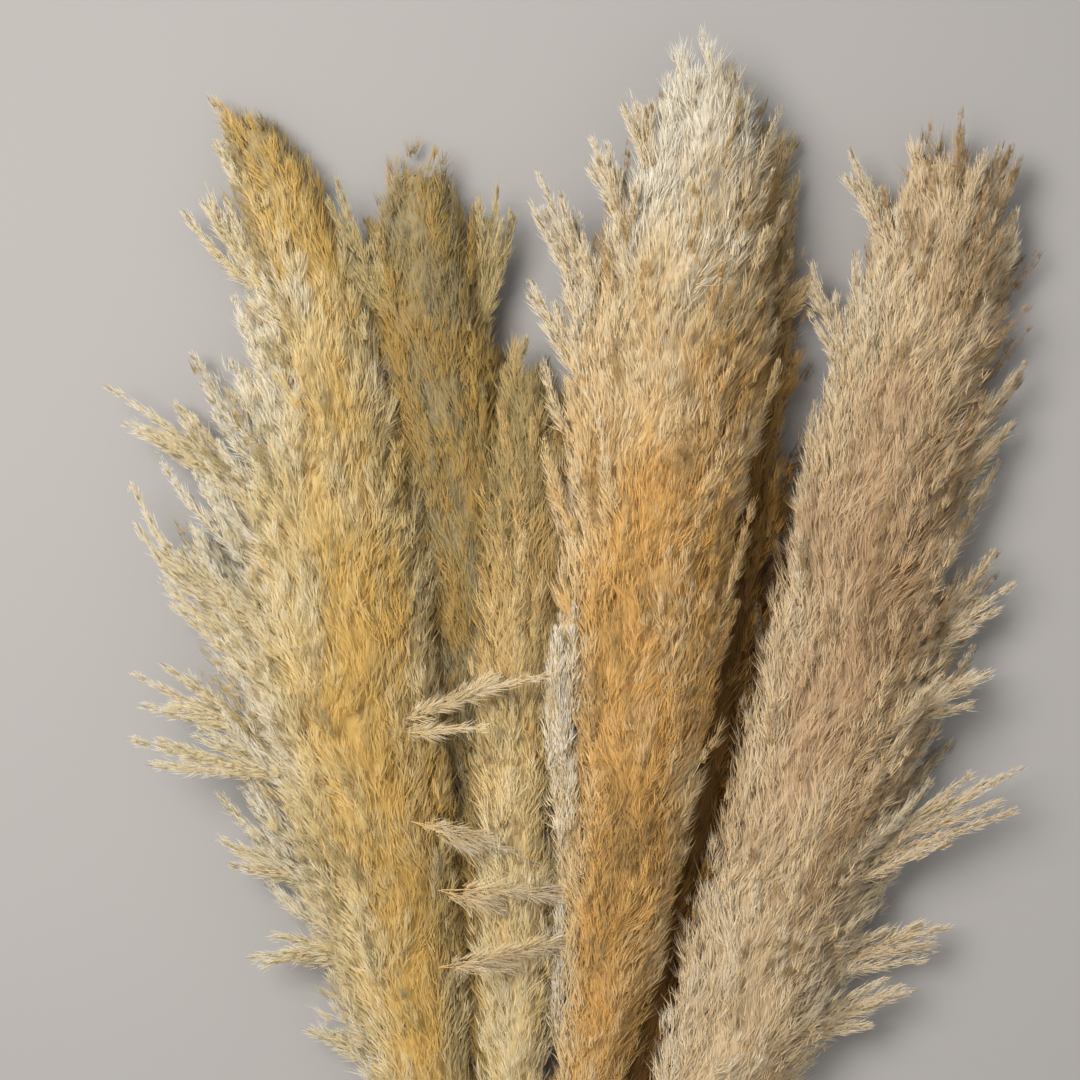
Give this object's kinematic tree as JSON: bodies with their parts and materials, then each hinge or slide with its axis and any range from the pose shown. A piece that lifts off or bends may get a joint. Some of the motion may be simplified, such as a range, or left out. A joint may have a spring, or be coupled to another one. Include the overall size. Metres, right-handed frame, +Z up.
{
  "type": "bundle of pampas grass",
  "caption": "Bundle of dried pampas grass: long feathery heads on thin stems, tied with twine and lying on its side.",
  "frame": {"origin": "on the surface that the bundle lies on, under the middle of the whole bundle", "axes": "+Y along the stems towards the feathery heads, +Z up from the surface, +X across the bundle"},
  "size_m": [0.4532, 1.1004, 0.0847],
  "materials": {
    "left_feather": "silky dry fluff",
    "olive_feather": "silky dry fluff",
    "tall_feather": "silky dry fluff",
    "right_feather": "silky dry fluff",
    "short_feather": "silky dry fluff",
    "behind_feather": "silky dry fluff",
    "stem": "dry cane",
    "twine": "hairy jute"
  },
  "bodies": {
    "root": {"behind_branch_1": "behind_feather", "behind_head": "behind_feather", "behind_stem": "stem", "left_branch_1": "left_feather", "left_branch_10": "left_feather", "left_branch_2": "left_feather", "left_branch_3": "left_feather", "left_branch_4": "left_feather", "left_branch_5": "left_feather", "left_branch_6": "left_feather", "left_branch_7": "left_feather", "left_branch_8": "left_feather", "left_branch_9": "left_feather", "left_head": "left_feather", "left_stem": "stem", "olive_branch_1": "olive_feather", "olive_branch_2": "olive_feather", "olive_branch_3": "olive_feather", "olive_head": "olive_feather", "olive_stem": "stem", "right_branch_1": "right_feather", "right_branch_2": "right_feather", "right_branch_3": "right_feather", "right_branch_4": "right_feather", "right_branch_5": "right_feather", "right_branch_6": "right_feather", "right_branch_7": "right_feather", "right_branch_8": "right_feather", "right_branch_9": "right_feather", "right_head": "right_feather", "right_stem": "stem", "short_branch_1": "short_feather", "short_head": "short_feather", "short_stem": "stem", "tall_branch_1": "tall_feather", "tall_branch_2": "tall_feather", "tall_branch_3": "tall_feather", "tall_branch_4": "tall_feather", "tall_branch_5": "tall_feather", "tall_branch_6": "tall_feather", "tall_head": "tall_feather", "tall_stem": "stem", "twine_binding": "twine", "twine_knot": "twine"}
  },
  "joints": []
}
